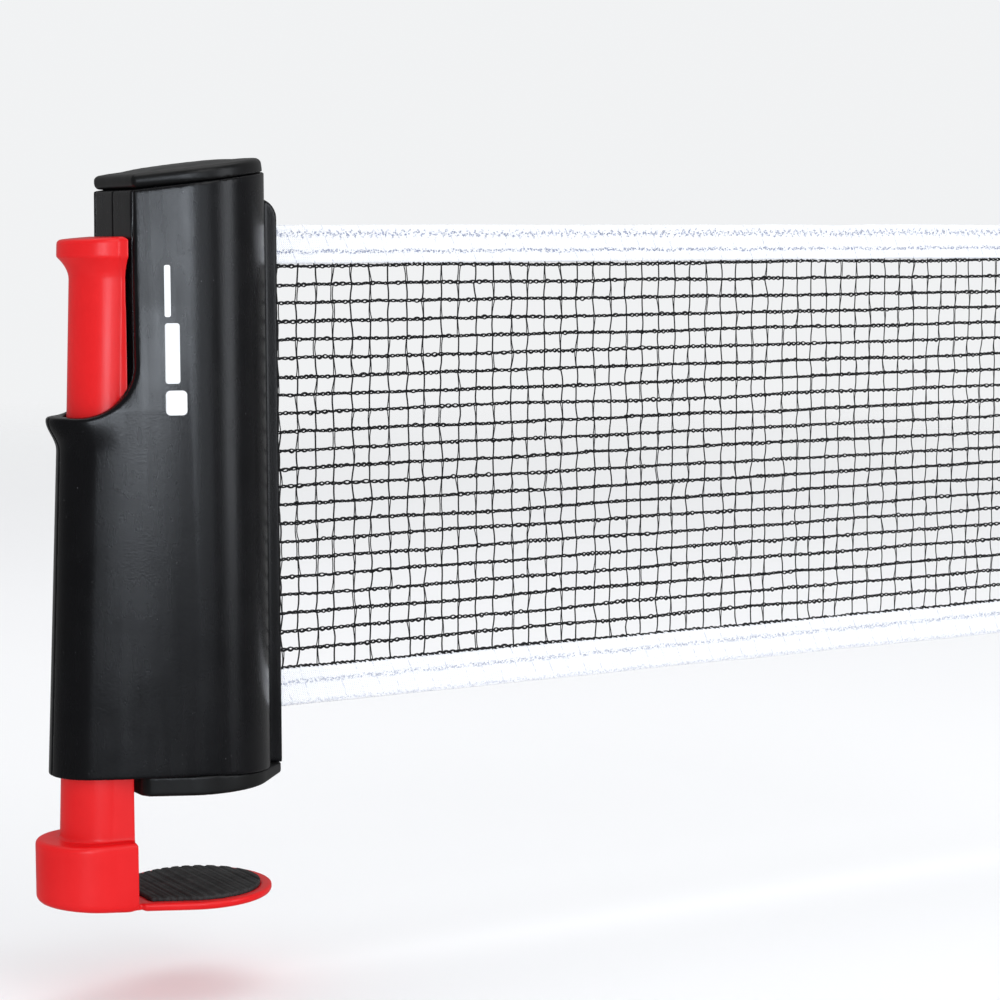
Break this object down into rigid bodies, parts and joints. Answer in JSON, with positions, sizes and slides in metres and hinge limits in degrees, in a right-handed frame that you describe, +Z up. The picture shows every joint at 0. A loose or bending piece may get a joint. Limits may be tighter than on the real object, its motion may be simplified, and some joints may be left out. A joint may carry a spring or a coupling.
{
  "type": "retractable table tennis net post with squeeze clamp",
  "caption": "Retractable net post for a table tennis table: a housing with a spring roller and net, and a sprung sliding clamp that grips the table's edge.",
  "frame": {"origin": "on the roller's axis, at the underside of the foot pad, which is the plane of the table top", "axes": "+X along the net away from the post, +Y across the net, +Z up along the roller; Y = 0 is the plane of the net"},
  "size_m": [0.3502, 0.042, 0.1982],
  "materials": {
    "black_abs": "satin, finely grained moulding",
    "cap_abs": "semi-gloss moulding",
    "base_abs": "satin moulding",
    "red_abs": "satin gloss moulding",
    "black_rubber": "matte",
    "steel": "zinc plated",
    "natural_acetal": "natural",
    "grey_tube": "extruded",
    "net_black": "knitted cord",
    "tape_white": "woven tape"
  },
  "bodies": {
    "housing": {"shell_front": "black_abs", "shell_rear": "black_abs", "top_cap": "cap_abs", "base_cap": "base_abs", "foot_pad": "black_rubber", "shell_screws": "steel", "base_screws": "steel", "top_bush": "natural_acetal", "roller_spindle": "steel", "spring_collar": "natural_acetal", "spring_anchor_pin": "steel", "clamp_spring": "steel", "roller_spring": "steel", "net_lead": "net_black", "net_mesh": "net_black", "net_top_tape": "tape_white", "net_bottom_tape": "tape_white"},
    "clamp": {"clamp_slider": "red_abs", "jaw_pad": "black_rubber", "slider_spring_pin": "steel"},
    "roller": {"roller_tube": "grey_tube", "roller_top_plug": "natural_acetal", "roller_bottom_plug": "natural_acetal", "net_roll": "net_black", "roll_top_tape": "tape_white", "roll_bottom_tape": "tape_white"},
    "net_end": {"end_bar_front": "black_abs", "end_bar_rear": "black_abs", "end_bar_rivets": "steel"}
  },
  "joints": [
    {"name": "clamp_slide", "type": "slide", "parent": "housing", "child": "clamp", "axis": [0, 0, 1], "range_m": [-0.025, 0.016], "stiffness_N_per_m": 600, "deforming": ["clamp_spring"]},
    {"name": "net_pull", "type": "slide", "parent": "housing", "child": "net_end", "axis": [1, 0, 0], "range_m": [-0.268, 0], "deforming": ["net_mesh", "net_top_tape", "net_bottom_tape"]},
    {"name": "roller_spin", "type": "hinge", "parent": "housing", "child": "roller", "pos_m": [0, 0, 0.084], "axis": [0, 0, 1], "range_deg": [0, 1095]}
  ],
  "couplings": [
    {"joint": "roller_spin", "follows": "net_pull", "rad_per_m": -71}
  ]
}
